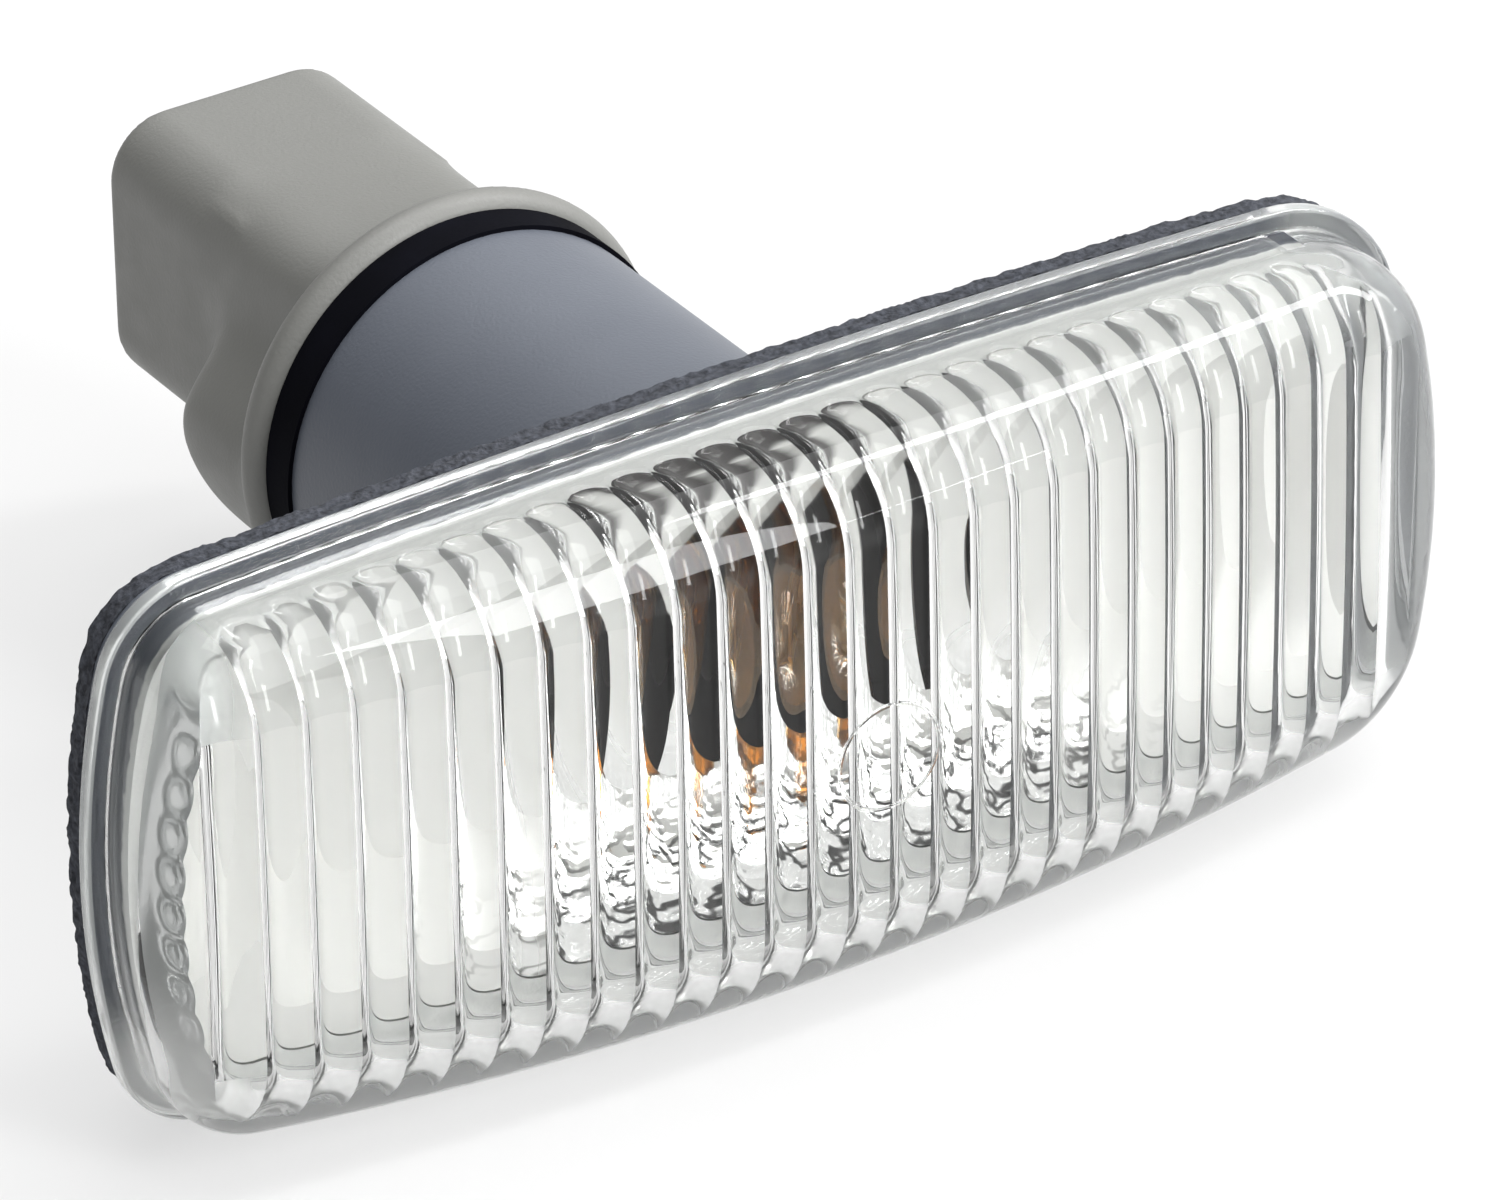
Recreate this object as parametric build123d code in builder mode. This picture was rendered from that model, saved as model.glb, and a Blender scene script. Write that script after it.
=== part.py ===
from build123d import *
import math
import os

# Side repeater lamp: clear fluted lens welded to a grey housing with a round bulb neck,
# foam gasket against the body panel, push-in bulb holder with an amber wedge bulb.
# Millimetres. +X along the lens, +Y into the vehicle along the neck, +Z up.
# The origin lies on the neck axis, on the panel side of the gasket.

# Foam gasket
gasket_thickness = 1.5
gasket_edge_inset = 0.25

# Lens outline and dome
lens_length = 95.0
lens_height = 39.0
left_corner_radius = 6.7
right_corner_radius = 10.0
long_edge_bow = 1.1
end_bow = 2.7
flange_width = 1.2
flange_thickness = 1.2
lens_depth = 13.2
front_bow_radius = 230.0
front_crown_radius = 200.0
front_edge_radius = 5.2
lens_wall = 2.0
lens_front_wall = 2.2
least_corner_radius = 2.0

# Flutes inside the lens
flute_count = 29
flute_height = 0.5
flute_end_margin = 1.4
flute_bend_radius = 4.0
flute_start = 3.4
flute_runout = 1.5
end_flute_count = 9
end_flute_margin = 4.6
end_flute_height = 0.35
groove_step = 0.15
groove_relief = 0.3

# Housing tray, neck and panel catches
weld_clearance = 0.1
lip_thickness = 0.5
lip_inset = 0.5
rim_depth = 2.4
rim_wall = 1.5
floor_wall = 1.6
tray_inset = 5.0
tray_depth = 4.0
neck_radius = 13.8
neck_wall = 1.6
neck_length = 29.4
gusset_thickness = 1.6
gusset_reach = 8.0
gusset_length = 9.0
catch_width = 11.0
catch_gap = 2.1
hook_thickness = 1.9
hook_reach = 3.0
snap_reach = 2.2
snap_length = 1.9

# Reflector dish
reflector_wall = 0.9
reflector_slope_inset = 4.2
reflector_clearance = 0.2
bulb_hole_radius = 10.8

# Rubber seal and bulb holder
seal_gap = 2.6
seal_radius = 14.1
seal_clearance = 0.1
spigot_radius = 11.2
spigot_front = 14.0
collar_radius = 15.0
collar_thickness = 2.4
skirt_radius = 13.7
skirt_length = 11.2
skirt_side = -1.0
skirt_rise = 6.6
skirt_side_radius = 3.0
skirt_edge_radius = 1.3
skirt_tuck = 0.5
block_width = 17.8
block_height = 18.8
block_corner_radius = 4.2
block_centre_x = 0.3
block_centre_z = 1.45
block_rear = 60.3
block_edge_radius = 0.8
shroud_wall = 1.7
shroud_corner_radius = 2.5
shroud_depth = 14.0

# Wedge bulb
bulb_radius = 5.15
bulb_tip = -6.0
bulb_glass_wall = 0.65
bulb_shoulder = 8.0
bulb_foot = 12.8
bulb_foot_radius = 4.75
bulb_cavity_end = 9.4
wedge_thickness = 2.1
wedge_width = 9.5
wedge_end = 20.6
wire_radius = 0.3
wire_spacing = 4.4
wire_bend_lead = 0.4
wire_fold_length = 4.6
filament_position = -0.4
filament_radius = 0.28

# Contact strips
strip_thickness = 0.8
strip_width = 5.0
strip_clearance = 0.08
strip_front = 15.2
strip_joggle_start = 27.0
strip_joggle_end = 33.0
tab_spacing = 6.4
tab_end_setback = 3.5
pocket_clearance = 0.35
pocket_floor_gap = 0.5

# Derived sizes
flange_back = gasket_thickness + lip_thickness
flange_front = flange_back + flange_thickness
lens_front = flange_back + lens_depth
cavity_inset = flange_width + lens_wall
cavity_half_length = lens_length / 2 - cavity_inset
cavity_half_height = lens_height / 2 - cavity_inset
bow_centre = front_bow_radius - lens_front
groove_inset = cavity_inset + groove_step
flute_pitch = 2 * (cavity_half_length - flute_end_margin) / flute_count
end_flute_pitch = 2 * (cavity_half_height - end_flute_margin) / end_flute_count
collar_front = neck_length + seal_gap
neck_bore_radius = neck_radius - neck_wall
pocket_floor = wedge_end + wire_bend_lead + wire_radius + pocket_floor_gap
strip_x = wedge_thickness / 2 + 2 * wire_radius + strip_thickness / 2
shroud_floor = block_rear - shroud_depth

os.makedirs("parts", exist_ok=True)


def arc_radius(half_chord, sagitta):
    return (half_chord**2 + sagitta**2) / (2 * sagitta)


def long_edge(x, inset):
    """Height of the bowed long edge of the lamp outline at x."""
    half_length = lens_length / 2 - inset
    half_height = lens_height / 2 - inset
    radius = arc_radius(half_length - end_bow, long_edge_bow)
    return half_height - radius + math.sqrt(radius**2 - x**2)


def end_edge(z, inset):
    """Reach of the bowed end of the lamp outline at z."""
    half_length = lens_length / 2 - inset
    half_height = lens_height / 2 - inset
    radius = arc_radius(half_height - long_edge_bow, end_bow)
    return half_length - radius + math.sqrt(radius**2 - z**2)


def lamp_outline(forward, inset):
    """The lamp outline, drawn in by an inset, on a plane ahead of the panel."""
    half_length = lens_length / 2 - inset
    half_height = lens_height / 2 - inset
    corner_x = half_length - end_bow
    corner_z = half_height - long_edge_bow
    with BuildSketch(Plane.XZ.offset(forward)) as outline:
        with BuildLine():
            ThreePointArc((-corner_x, corner_z), (0, half_height), (corner_x, corner_z))
            ThreePointArc((corner_x, corner_z), (half_length, 0), (corner_x, -corner_z))
            ThreePointArc((corner_x, -corner_z), (0, -half_height), (-corner_x, -corner_z))
            ThreePointArc((-corner_x, -corner_z), (-half_length, 0), (-corner_x, corner_z))
        make_face()
        left_radius = max(left_corner_radius - inset, least_corner_radius)
        right_radius = max(right_corner_radius - inset, least_corner_radius)
        fillet(outline.vertices().group_by(Axis.X)[0], radius=left_radius)
        fillet(outline.vertices().group_by(Axis.X)[-1], radius=right_radius)
    return outline.sketch


def rib_radius(pitch, height):
    return ((pitch / 2) ** 2 + height**2) / (2 * height)


def flute_facet(angle):
    """Section behind one facet of the fluted inner skin, from the front (0) to the walls (90)."""
    lean = math.radians(angle)
    inner_bow = front_bow_radius - lens_front_wall

    def groove(x):
        ahead = math.sqrt(inner_bow**2 - x**2) - bow_centre
        above = long_edge(x, groove_inset)
        front_part = math.cos(lean) * (ahead - flute_bend_radius)
        wall_part = abs(math.sin(lean)) * (above - flute_bend_radius)
        return front_part + wall_part + flute_bend_radius

    rib = rib_radius(flute_pitch, flute_height)
    side = cavity_half_length + lens_wall
    deep = -lens_length
    places = [(i - (flute_count - 1) / 2) * flute_pitch for i in range(flute_count)]
    facet = Plane(origin=(0, 0, 0), x_dir=(1, 0, 0), z_dir=(0, -math.sin(lean), -math.cos(lean)))
    with BuildSketch(facet) as section:
        with BuildLine():
            crest = [(x, groove(x) + groove_relief) for x in (-side, 0, side)]
            ThreePointArc(*crest)
            Polyline(crest[2], (side, deep), (-side, deep), crest[0])
        make_face()
        with Locations(*[(x, groove(x) - flute_height + rib) for x in places]):
            Circle(rib, mode=Mode.SUBTRACT)
    return section.sketch


# Hollow of the lens: vertical flutes that bend from the front onto the top and bottom walls,
# small flutes along the end walls, and a plain skirt where the housing rim is welded in.
with BuildPart() as lens_hollow:
    extrude(flute_facet(0), amount=lens_length, both=True)
    for bend in (30, 60, 90, -30, -60, -90):
        extrude(flute_facet(bend), amount=lens_length, both=True, mode=Mode.INTERSECT)
    end_rib = rib_radius(end_flute_pitch, end_flute_height)
    end_places = [(i - (end_flute_count - 1) / 2) * end_flute_pitch for i in range(end_flute_count)]
    with BuildSketch(Plane.XZ.offset(flange_back)):
        add(lamp_outline(flange_back, groove_inset - groove_relief))
        for side in (-1, 1):
            spots = [
                (side * (end_edge(z, groove_inset) - end_flute_height + end_rib), z) for z in end_places
            ]
            with Locations(*spots):
                Circle(end_rib, mode=Mode.SUBTRACT)
    extrude(amount=lens_depth, mode=Mode.INTERSECT)
    extrude(lamp_outline(flange_back, cavity_inset), amount=flute_start)
    loft(
        [
            lamp_outline(flange_back + flute_start, cavity_inset),
            lamp_outline(
                flange_back + flute_start + flute_runout, groove_inset + flute_height + groove_relief
            ),
        ],
        ruled=True,
    )

# Clear lens: bowed and crowned cap with a rounded front edge and a thin flange.
with BuildPart() as lens:
    extrude(lamp_outline(flange_back, flange_width), amount=lens_depth)
    crown_drop = front_crown_radius - math.sqrt(front_crown_radius**2 - lens_height**2)
    with BuildSketch(Plane.XZ.offset(-bow_centre)):
        with BuildLine():
            ThreePointArc(
                (front_bow_radius - crown_drop, -lens_height),
                (front_bow_radius, 0),
                (front_bow_radius - crown_drop, lens_height),
            )
            Polyline(
                (front_bow_radius - crown_drop, lens_height),
                (bow_centre - lens_depth, lens_height),
                (bow_centre - lens_depth, -lens_height),
                (front_bow_radius - crown_drop, -lens_height),
            )
        make_face()
    revolve(axis=Axis((0, bow_centre, 0), (0, 0, 1)), mode=Mode.INTERSECT)
    fillet(lens.faces().sort_by(Axis.Y)[0].edges(), radius=front_edge_radius)
    extrude(lamp_outline(flange_back, 0), amount=flange_thickness)
    add(lens_hollow.part, mode=Mode.SUBTRACT)
lens.part.label = "lens"
export_step(lens.part, "parts/lens.step")

# Grey housing: weld lip behind the lens flange, rim inside the lens skirt, shallow tray behind the
# panel face, bulb neck with two gussets, a fixed hook on one end and a snap catch on the other.
with BuildPart() as housing:
    rim_inset = cavity_inset + weld_clearance
    ledge = flange_back + floor_wall
    tray_back = -tray_depth
    extrude(lamp_outline(gasket_thickness, lip_inset), amount=lip_thickness)
    extrude(lamp_outline(flange_back, rim_inset), amount=rim_depth)
    extrude(lamp_outline(ledge, rim_inset + rim_wall), amount=rim_depth, mode=Mode.SUBTRACT)
    extrude(lamp_outline(tray_back, tray_inset), amount=ledge + tray_depth)
    with BuildSketch(Plane.XZ.offset(tray_back)):
        Circle(neck_radius)
    extrude(amount=tray_back + neck_length, dir=(0, 1, 0))
    with BuildSketch(Plane.XY) as gussets:
        with BuildLine():
            Polyline(
                (neck_radius - neck_wall / 2, tray_depth - floor_wall / 2),
                (neck_radius + gusset_reach, tray_depth - floor_wall / 2),
                (neck_radius + gusset_reach, tray_depth),
                (neck_radius, tray_depth + gusset_length),
                (neck_radius - neck_wall / 2, tray_depth + gusset_length),
                close=True,
            )
        make_face()
        mirror(about=Plane.YZ)
    extrude(amount=gusset_thickness / 2, both=True)
    tray_end = lens_length / 2 - tray_inset
    with BuildSketch(Plane.XY) as catches:
        with Locations((tray_end - floor_wall, catch_gap)):
            Rectangle(floor_wall + hook_reach, hook_thickness, align=Align.MIN)
        with BuildLine():
            Polyline(
                (-tray_end + floor_wall, catch_gap),
                (-tray_end - snap_reach, catch_gap),
                (-tray_end, catch_gap + snap_length),
                (-tray_end + floor_wall, catch_gap + snap_length),
                close=True,
            )
        make_face()
    extrude(amount=catch_width / 2, both=True)
    extrude(
        lamp_outline(tray_back + floor_wall, tray_inset + floor_wall),
        amount=ledge + tray_depth,
        mode=Mode.SUBTRACT,
    )
    with BuildSketch(Plane.XZ.offset(-neck_length)):
        Circle(neck_bore_radius)
    extrude(amount=neck_length + ledge, mode=Mode.SUBTRACT)
housing.part.label = "housing"
export_step(housing.part, "parts/housing.step")

# Bright reflector dish on the housing ledge, with a hole for the bulb.
with BuildPart() as reflector:
    edge_inset = rim_inset + rim_wall + reflector_clearance
    dish_inset = tray_inset + floor_wall + reflector_clearance
    dish_floor = tray_back + floor_wall + reflector_clearance
    lip_front = ledge + reflector_wall
    extrude(lamp_outline(ledge, edge_inset), amount=reflector_wall)
    loft(
        [
            lamp_outline(dish_floor, dish_inset + reflector_slope_inset),
            lamp_outline(ledge, dish_inset),
        ],
        ruled=True,
    )
    loft(
        [
            lamp_outline(dish_floor + reflector_wall, dish_inset + reflector_slope_inset + reflector_wall),
            lamp_outline(lip_front, dish_inset + reflector_wall),
        ],
        ruled=True,
        mode=Mode.SUBTRACT,
    )
    with BuildSketch(Plane.XZ.offset(dish_floor)):
        Circle(bulb_hole_radius)
    extrude(amount=reflector_wall, mode=Mode.SUBTRACT)
reflector.part.label = "reflector"
export_step(reflector.part, "parts/reflector.step")

# Foam gasket ring between the weld lip and the body panel.
with BuildPart() as gasket:
    extrude(lamp_outline(0, gasket_edge_inset), amount=gasket_thickness)
    extrude(lamp_outline(0, tray_inset - weld_clearance), amount=gasket_thickness, mode=Mode.SUBTRACT)
gasket.part.label = "gasket"
export_step(gasket.part, "parts/gasket.step")

# Rubber seal squeezed between the neck end and the holder collar.
with BuildPart() as seal:
    with BuildSketch(Plane.XZ.offset(-neck_length)):
        Circle(seal_radius)
        Circle(spigot_radius + seal_clearance, mode=Mode.SUBTRACT)
    extrude(amount=-seal_gap)
seal.part.label = "seal"
export_step(seal.part, "parts/seal.step")


def strip_path(extra):
    """Outline of one contact strip seen from above, widened by an extra on every side."""
    with BuildSketch(Plane.XY) as strip:
        with BuildLine() as route:
            Polyline(
                (strip_x, strip_front),
                (strip_x, strip_joggle_start),
                (tab_spacing / 2, strip_joggle_end),
                (tab_spacing / 2, block_rear - tab_end_setback),
            )
        trace(route.line, line_width=strip_thickness + 2 * extra)
    return strip.sketch


# Bulb holder: round-edged collar and spigot, rectangular connector block open to the rear.
with BuildPart() as holder:
    collar_back = collar_front + collar_thickness
    skirt_width = math.sqrt(skirt_radius**2 - skirt_side**2)
    skirt_top = block_width / 2 - skirt_tuck
    with BuildSketch(Plane.XZ.offset(-collar_back)) as skirt:
        with BuildLine():
            ThreePointArc((-skirt_width, skirt_side), (0, -skirt_radius), (skirt_width, skirt_side))
            Polyline(
                (skirt_width, skirt_side),
                (block_centre_x + skirt_top, skirt_side + skirt_rise),
                (block_centre_x - skirt_top, skirt_side + skirt_rise),
                (-skirt_width, skirt_side),
            )
        make_face()
        fillet(skirt.vertices().group_by(Axis.Y)[0], radius=skirt_side_radius)
    extrude(amount=-skirt_length)
    skirt_rim = holder.faces().sort_by(Axis.Y)[-1].edges().sort_by(Axis.Z)[:-1]
    fillet(skirt_rim, radius=skirt_edge_radius)
    bead_radius = collar_radius - collar_thickness / 2
    with BuildSketch(Plane.XY):
        with BuildLine():
            Polyline(
                (bead_radius, collar_back),
                (0, collar_back),
                (0, spigot_front),
                (spigot_radius, spigot_front),
                (spigot_radius, collar_front),
                (bead_radius, collar_front),
            )
            ThreePointArc(
                (bead_radius, collar_front),
                (collar_radius, collar_front + collar_thickness / 2),
                (bead_radius, collar_back),
            )
        make_face()
    revolve(axis=Axis.Y)
    with BuildSketch(Plane.XZ.offset(-block_rear)):
        with Locations((block_centre_x, block_centre_z)):
            RectangleRounded(block_width, block_height, block_corner_radius)
    extrude(amount=block_rear - collar_back)
    fillet(holder.faces().sort_by(Axis.Y)[-1].edges(), radius=block_edge_radius)
    with BuildSketch(Plane.XZ.offset(-block_rear)):
        with Locations((block_centre_x, block_centre_z)):
            RectangleRounded(
                block_width - 2 * shroud_wall, block_height - 2 * shroud_wall, shroud_corner_radius
            )
    extrude(amount=shroud_depth, mode=Mode.SUBTRACT)
    with BuildSketch(Plane.XZ.offset(-spigot_front)):
        Rectangle(
            2 * strip_x + strip_thickness + 2 * pocket_clearance, wedge_width + 2 * pocket_clearance
        )
    extrude(amount=spigot_front - pocket_floor, mode=Mode.SUBTRACT)
    slot = strip_path(strip_clearance)
    extrude(slot, amount=strip_width / 2 + strip_clearance, both=True, mode=Mode.SUBTRACT)
    extrude(
        mirror(slot, about=Plane.YZ, mode=Mode.PRIVATE),
        amount=strip_width / 2 + strip_clearance,
        both=True,
        mode=Mode.SUBTRACT,
    )
holder.part.label = "holder"
export_step(holder.part, "parts/holder.step")

# Two contact strips from the bulb pocket to the connector tabs.
with BuildPart() as contact_right:
    extrude(strip_path(0), amount=strip_width / 2, both=True)
contact_right.part.label = "contact_right"
export_step(contact_right.part, "parts/contact_right.step")

with BuildPart() as contact_left:
    add(mirror(contact_right.part, about=Plane.YZ, mode=Mode.PRIVATE))
contact_left.part.label = "contact_left"
export_step(contact_left.part, "parts/contact_left.step")


def wire_route(side):
    """Lead wire: straight through the glass wedge, folded back along one flat of it."""
    height = side * wire_spacing / 2
    fold_x = side * (wedge_thickness / 2 + wire_radius)
    turn = wedge_end + wire_bend_lead
    with BuildLine(Plane.XY.offset(height)) as route:
        Polyline((0, filament_position), (0, turn), (fold_x, turn), (fold_x, turn - wire_fold_length))
    return route.line


def wire_section(side):
    """Round section of a lead wire at its filament end."""
    with BuildSketch(Plane.XZ.offset(-filament_position)) as section:
        with Locations((0, side * wire_spacing / 2)):
            Circle(wire_radius)
    return section.sketch


with BuildPart() as lead_upper:
    sweep(wire_section(1), path=wire_route(1), transition=Transition.RIGHT)
lead_upper.part.label = "lead_upper"
export_step(lead_upper.part, "parts/lead_upper.step")

with BuildPart() as lead_lower:
    sweep(wire_section(-1), path=wire_route(-1), transition=Transition.RIGHT)
lead_lower.part.label = "lead_lower"
export_step(lead_lower.part, "parts/lead_lower.step")

# Coiled filament, drawn as its outer cylinder between the two lead wires.
with BuildPart() as filament:
    filament_length = wire_spacing - 2 * wire_radius
    with Locations((0, filament_position + wire_radius, 0)):
        Cylinder(filament_radius, filament_length)
filament.part.label = "filament"
export_step(filament.part, "parts/filament.step")

# Amber glass of the wedge bulb: round-nosed envelope drawn down to a flat pinch.
with BuildPart() as bulb_glass:
    nose = bulb_tip + bulb_radius
    with BuildSketch(Plane.XY):
        with BuildLine():
            Line((0, bulb_foot), (0, bulb_tip))
            RadiusArc((0, bulb_tip), (bulb_radius, nose), bulb_radius)
            Line((bulb_radius, nose), (bulb_radius, bulb_shoulder))
            Line((bulb_radius, bulb_shoulder), (bulb_foot_radius, bulb_foot))
            Line((bulb_foot_radius, bulb_foot), (0, bulb_foot))
        make_face()
    revolve(axis=Axis.Y)
    with BuildSketch(Plane.XZ.offset(-bulb_foot)):
        Rectangle(wedge_thickness, wedge_width)
    extrude(amount=bulb_foot - wedge_end)
    inner_radius = bulb_radius - bulb_glass_wall
    with BuildSketch(Plane.XY):
        with BuildLine():
            Line((0, bulb_cavity_end), (0, bulb_tip + bulb_glass_wall))
            RadiusArc((0, bulb_tip + bulb_glass_wall), (inner_radius, nose), inner_radius)
            Line((inner_radius, nose), (inner_radius, bulb_shoulder))
            Line((inner_radius, bulb_shoulder), (0, bulb_cavity_end))
        make_face()
    revolve(axis=Axis.Y, mode=Mode.SUBTRACT)
    add([lead_upper.part, lead_lower.part], mode=Mode.SUBTRACT)
bulb_glass.part.label = "bulb_glass"
export_step(bulb_glass.part, "parts/bulb_glass.step")
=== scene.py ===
import math

import bmesh
import bpy
import numpy as np
from mathutils import Matrix, Vector


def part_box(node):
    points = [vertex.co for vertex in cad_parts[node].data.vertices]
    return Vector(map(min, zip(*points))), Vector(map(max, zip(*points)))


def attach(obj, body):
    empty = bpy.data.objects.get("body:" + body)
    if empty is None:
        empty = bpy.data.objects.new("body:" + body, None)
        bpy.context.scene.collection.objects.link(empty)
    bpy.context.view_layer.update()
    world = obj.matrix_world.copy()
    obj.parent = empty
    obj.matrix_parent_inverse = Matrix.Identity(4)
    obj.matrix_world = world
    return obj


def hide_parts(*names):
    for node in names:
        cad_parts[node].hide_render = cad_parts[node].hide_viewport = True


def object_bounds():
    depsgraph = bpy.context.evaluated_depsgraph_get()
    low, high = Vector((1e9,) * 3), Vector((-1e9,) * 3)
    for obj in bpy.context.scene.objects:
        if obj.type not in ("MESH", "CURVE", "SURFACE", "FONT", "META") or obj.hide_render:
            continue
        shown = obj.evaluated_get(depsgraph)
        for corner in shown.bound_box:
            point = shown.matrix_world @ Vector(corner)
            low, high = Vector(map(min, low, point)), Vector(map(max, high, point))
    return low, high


# Looks of a side repeater lamp: a clear fluted lens over a bright reflector and an amber bulb,
# a foam gasket, a slate housing neck, and a warm grey bulb holder.
# Sizes are in millimetres and turned into metres where a mesh is made. "forward" means -Y.

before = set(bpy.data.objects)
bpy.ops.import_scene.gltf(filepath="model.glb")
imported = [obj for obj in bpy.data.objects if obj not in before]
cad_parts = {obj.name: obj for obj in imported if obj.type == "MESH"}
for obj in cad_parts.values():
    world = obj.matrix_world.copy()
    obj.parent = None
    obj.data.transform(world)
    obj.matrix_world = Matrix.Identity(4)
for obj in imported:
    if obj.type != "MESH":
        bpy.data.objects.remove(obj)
cad_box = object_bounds()
MM = 0.001
BODY = "root"

# Lens sizes, the outer ones taken from the frame
lens_low, lens_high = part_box("lens")
gasket_low, gasket_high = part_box("gasket")
half_length = lens_high.x / MM
half_height = lens_high.z / MM
flange_back = -lens_high.y / MM
lens_front = -lens_low.y / MM
left_corner_radius = 6.7
right_corner_radius = 10.0
long_edge_bow = 1.1
end_bow = 2.7
flange_width = 1.2
flange_thickness = 1.2
flange_edge = 0.25
# Rows of points this far beside a rounded edge keep its shading clean
support = 0.12
# Pieces stay this far off the planes on which their solids meet others
weld_gap = 0.04
# What lies behind this place is the lens's seam with the housing
seam_front = flange_back + 1.5 * weld_gap
front_bow_radius = 230.0
front_crown_radius = 200.0
front_edge_radius = 5.2
cavity_inset = 3.25
front_wall = 2.2
bend_radius = 4.0
bow_centre = front_bow_radius - lens_front

# Flutes inside the lens
flute_count = 29
flute_height = 0.5
flute_end_margin = 1.4
flute_start = 6.9
end_flute_count = 9
end_flute_margin = 4.6
end_flute_height = 0.25
end_flute_start = 0.75

# Finishes of the lens, as numbers of its materials
clear_finish = 0
satin_finish = 1
ring_finish = 2

# Where the inner skin of the lens turns satin, as a forward place
satin_start = 6.3
end_satin_start = 5.0

# Milkiness of the satin parts: its share, and the places where it sets in and is full.
# A bow divides the squared place along an edge, so that a zone follows the bowed outline.
edge_milk_share = 0.22
edge_milk_zone = (13.0, 15.8)
edge_milk_bow = 1600.0
end_milk_share = 0.65
end_milk_zone = (41.0, 43.5)
end_milk_bow = 100.0
seam_milk_share = 0.65
milky_seam_right = 36.0
milky_seam_right_fade = 6.0
milky_seam_low = -7.0
milky_seam_low_fade = 7.0
flange_clearing = 0.5
# Clear again in front of the bulb's top, around a place with scaled axes
clear_place = (-5.5, 0, 16.5)
clear_shape = (0.3, 0, 1)
clear_zone = (3.0, 4.5)

# Plain moulded ring on the lens front
ring_centre = (0.66, -15.18, -1.45)
ring_radius = 3.55
ring_line = 0.16
ring_margin = 2.0
ring_depth = 1.0

# Foam gasket
gasket_inset = half_length - gasket_high.x / MM
gasket_inner_inset = 4.9
gasket_front = -gasket_low.y / MM
gasket_columns = 900
gasket_rows = 7
gasket_fray = 0.5
wave_share = 0.35
wave_seed = 3
wave_passes = 12
first_row_seed = 10

# Bulb holder: the zone where its creases are blended
holder_voxel = 0.3
blend_rounds = 140
blend_start = 34.0
blend_full = 35.3
blend_fade = 47.0
blend_end = 50.0
core_radius = 6.5
block_centre = (0.3, 1.45)
shroud_half = (8.0, 8.5)
shroud_floor = 46.0

# Fineness of the lens mesh
columns_per_flute = 10
margin_columns = 7
front_rows = 64
bend_rows = 10
wall_rows = 14
long_steps = 90
end_steps = 36
end_rounds = 8
corner_steps = 12
round_steps = 9
edge_steps = 3
dome_rings = 16
flange_rings = 2 * edge_steps + 2

# Points closer than this are one, in metres: in the grids here and in the frame's solids
grid_weld = 1e-7
solid_weld = 1e-6

# Edges sharper than this angle stay sharp, in degrees
lens_sharp = 55
gasket_sharp = 40
holder_sharp = 50

# Clear plastic and glass
plastic_ior = 1.49
plastic_tint = (0.965, 0.97, 0.962, 1)
plastic_shine = 0.45
satin_roughness = 0.08
milk_edge = (0.86, 0.875, 0.862, 1)
milk_end = (0.66, 0.685, 0.675, 1)
milk_low = (0.92, 0.93, 0.92, 1)
milk_low_zone = (-3, -10)
# Painted shade: the satin skin is darker at the right end, against the strong light from the
# right
painted_shade_right_end = (0.42, 0.435, 0.445, 1)
painted_shade_right_end_zone = (39, 43)
ring_height = 0.00008
amber_ior = 1.5
amber_clearness = 0.92
amber_scale = 120.0
amber_dark = (0.56, 0.26, 0.07, 1)
amber_light = (0.86, 0.54, 0.18, 1)

# Grey plastics, painted dark brown as shade inside the holder's neck and the housing's bore
cloud_scale = 60.0
grain_scale = 4000.0
grain_detail = 2.0
grain_height = 0.00003
slate_dark = (0.085, 0.095, 0.117, 1)
slate_light = (0.103, 0.114, 0.137, 1)
slate_roughness = 0.45
holder_dark = (0.158, 0.159, 0.149, 1)
holder_light = (0.175, 0.176, 0.166, 1)
holder_roughness = 0.5
holder_rough_spread = 0.05
holder_rough_scale = 400.0
# Dark brown: painted shade inside the holder's neck and the housing's bore, and a patch on the
# reflector above the bulb
dark_brown = (0.012, 0.008, 0.007, 1)
painted_shade_to = 29.0
bore_radius = 12.9

# Metallised rim of the housing
metallised_from = -3.3
metallised_fade = 0.25
metallised_ragged = 0.6
metallised_ragged_scale = 900.0
metallised = (0.74, 0.75, 0.735, 1)
metallised_end = (0.36, 0.37, 0.385, 1)
metallised_end_zone = (39.5, 42.5)
metallised_share = 0.85

# Reflector: mirror around a place below the bulb, satin outside, dark brown above the bulb, with
# painted shade along the folds of its crinkled foot and painted light towards its right end
mirror_place = (0, 0, -13)
mirror_shape = (0.5, 0, 1)
mirror_zone = (8, 13)
mirror_roughness = 0.08
dish_roughness = 0.5
dish_metal = 0.15
# Painted light: the satin dish is lighter towards the right end, where the wall shades it
dish_left = (0.78, 0.78, 0.76, 1)
dish_painted_light = (0.96, 0.96, 0.94, 1)
dish_painted_light_zone = (22.0, 36.0)
crinkle_scale = 560.0
crinkle_detail = 2.0
crinkle_stretch = 2.2
crinkle_height = 0.0004
crinkle_top_zone = (-10.5, -8.5)
crinkle_top_share = 0.8
# Painted shade: dark lines along the folds of the crinkle
crease_shade_zone = (0.01, 0.06)
crease_shade_dark = 0.08
between_creases = 0.96
dark_patch_place = (-4.5, 0, 15.0)
dark_patch_shape = (0.17, 0, 1)
dark_patch_zone = (2.2, 1.6)

# Foam and rubber
foam_scale = 2500.0
foam_dark = (0.012, 0.0135, 0.018, 1)
foam_light = (0.06, 0.065, 0.08, 1)
foam_height = 0.0002
foam_roughness = 0.95
rubber_scale = 200.0
rubber_dark = (0.0015, 0.0016, 0.003, 1)
rubber_light = (0.003, 0.0032, 0.006, 1)
rubber_roughness = 0.8
rubber_shine = 0.05
rubber_grain_scale = 2000.0
rubber_grain_height = 0.00002

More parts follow.
